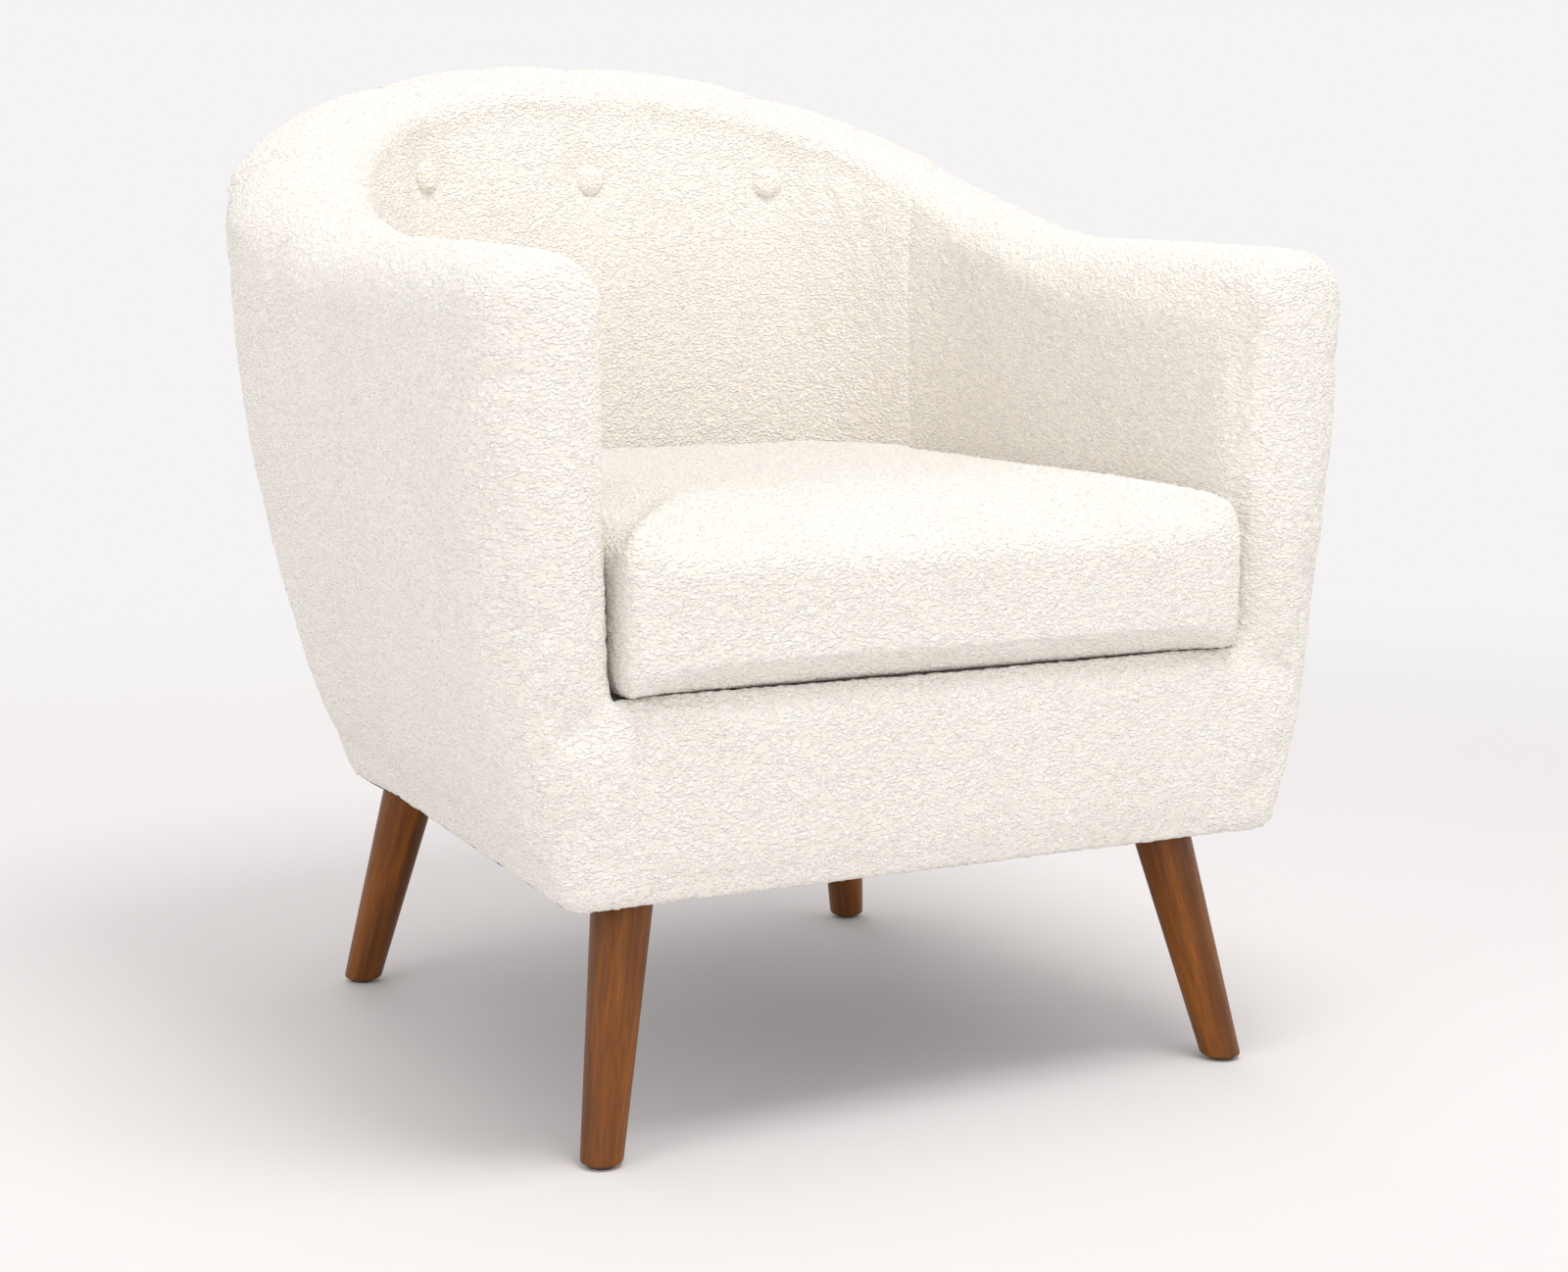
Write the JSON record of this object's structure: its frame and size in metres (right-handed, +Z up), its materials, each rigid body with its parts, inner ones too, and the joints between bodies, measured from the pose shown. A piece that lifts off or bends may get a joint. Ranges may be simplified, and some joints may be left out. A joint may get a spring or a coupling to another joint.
{
  "type": "upholstered armchair",
  "caption": "Barrel-back upholstered armchair with a loose seat cushion, buttoned inside back and splayed turned wooden legs.",
  "frame": {"origin": "on the floor, below the middle of the chair's outline", "axes": "+Z up, -Y to the front of the chair, +X to the sitter's left, which is the right-hand side as seen from the front"},
  "size_m": [0.7514, 0.693, 0.79],
  "materials": {
    "ivory_boucle": "looped boucle pile, matt",
    "cream_backing": "plain woven backing cloth, matt",
    "dust_cloth": "black non-woven cloth, matt",
    "frame_timber": "sawn and sanded, unfinished",
    "walnut_stained_wood": "walnut stain under satin lacquer",
    "zinc_steel": "zinc plated",
    "brown_nylon": "moulded, matt",
    "seat_foam": "open-cell foam",
    "elastic_webbing": "woven elastic band",
    "zip_tape": "woven tape with coil teeth",
    "zip_metal": "nickel plated"
  },
  "bodies": {
    "chair": {"arm_front_panel_left": "ivory_boucle", "arm_front_panel_right": "ivory_boucle", "arm_pad_left": "ivory_boucle", "arm_pad_right": "ivory_boucle", "arm_rail_left": "frame_timber", "arm_rail_right": "frame_timber", "back_button_centre": "ivory_boucle", "back_button_left": "ivory_boucle", "back_button_right": "ivory_boucle", "back_post_left": "frame_timber", "back_post_right": "frame_timber", "back_webbing_1": "elastic_webbing", "back_webbing_2": "elastic_webbing", "button_tie_centre": "cream_backing", "button_tie_left": "cream_backing", "button_tie_right": "cream_backing", "crest_rail": "frame_timber", "dust_cloth": "dust_cloth", "foot_glide_front_left": "brown_nylon", "foot_glide_front_right": "brown_nylon", "foot_glide_rear_left": "brown_nylon", "foot_glide_rear_right": "brown_nylon", "front_leg_cleat": "frame_timber", "front_post_left": "frame_timber", "front_post_right": "frame_timber", "front_rail_cover": "ivory_boucle", "hanger_bolt_front_left": "zinc_steel", "hanger_bolt_front_right": "zinc_steel", "hanger_bolt_rear_left": "zinc_steel", "hanger_bolt_rear_right": "zinc_steel", "inside_back_pad": "ivory_boucle", "leg_front_left": "walnut_stained_wood", "leg_front_right": "walnut_stained_wood", "leg_rear_left": "walnut_stained_wood", "leg_rear_right": "walnut_stained_wood", "outside_arm_panel_left": "ivory_boucle", "outside_arm_panel_right": "ivory_boucle", "outside_back_panel": "ivory_boucle", "rear_leg_cleat": "frame_timber", "seat_deck_pad": "cream_backing", "seat_rail_back": "frame_timber", "seat_rail_front": "frame_timber", "seat_rail_left": "frame_timber", "seat_rail_right": "frame_timber", "seat_spring_1": "zinc_steel", "seat_spring_2": "zinc_steel", "seat_spring_3": "zinc_steel", "seat_spring_4": "zinc_steel", "spring_clip_back_1": "zinc_steel", "spring_clip_back_2": "zinc_steel", "spring_clip_back_3": "zinc_steel", "spring_clip_back_4": "zinc_steel", "spring_clip_front_1": "zinc_steel", "spring_clip_front_2": "zinc_steel", "spring_clip_front_3": "zinc_steel", "spring_clip_front_4": "zinc_steel"},
    "seat_cushion": {"cushion_cover": "ivory_boucle", "cushion_foam_core": "seat_foam", "cushion_zip_tape": "zip_tape"},
    "zip_slider": {"cushion_zip_slider": "zip_metal"}
  },
  "joints": [
    {"name": "cushion_lift", "type": "slide", "parent": "chair", "child": "seat_cushion", "axis": [0, 0, 1], "range_m": [0, 0.36]},
    {"name": "zip_travel", "type": "slide", "parent": "seat_cushion", "child": "zip_slider", "axis": [1, 0, 0], "range_m": [0, 0.195]}
  ]
}
